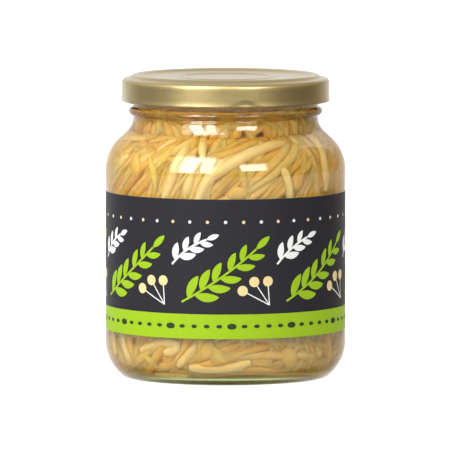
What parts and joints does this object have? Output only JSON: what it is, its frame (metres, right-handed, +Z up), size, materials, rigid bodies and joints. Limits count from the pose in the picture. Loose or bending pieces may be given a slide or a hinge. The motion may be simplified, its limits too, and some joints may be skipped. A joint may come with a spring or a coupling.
{
  "type": "jar of bean sprouts",
  "caption": "Glass jar packed with mung bean sprouts in brine, with a plain charcoal and lime paper label and a gold twist-off lid.",
  "frame": {"origin": "centre of the jar's foot, on the surface that it stands on", "axes": "+Z up along the jar's axis, the middle of the label's front towards -Y"},
  "size_m": [0.081, 0.081, 0.102],
  "materials": {
    "clear_glass": "clear flint glass, faintly green where it is thick",
    "gold_lacquer": "satin gold lacquer on tinplate",
    "seal_compound": "soft off-white sealing compound",
    "label_paper": "coated paper, charcoal with a lime band at its lower edge",
    "brine_liquid": "clear liquid, faintly amber",
    "sprout_flesh": "moist, slightly translucent cream plant flesh"
  },
  "bodies": {
    "jar": {"glass_jar": "clear_glass", "label": "label_paper", "brine": "brine_liquid", "sprouts": "sprout_flesh"},
    "lid": {"lid": "gold_lacquer", "lid_seal": "seal_compound"}
  },
  "joints": [
    {"name": "lid_twist", "type": "hinge", "parent": "jar", "child": "lid", "pos_m": [0, 0, 0.0977], "axis": [0, 0, 1], "range_deg": [0, 68]}
  ]
}
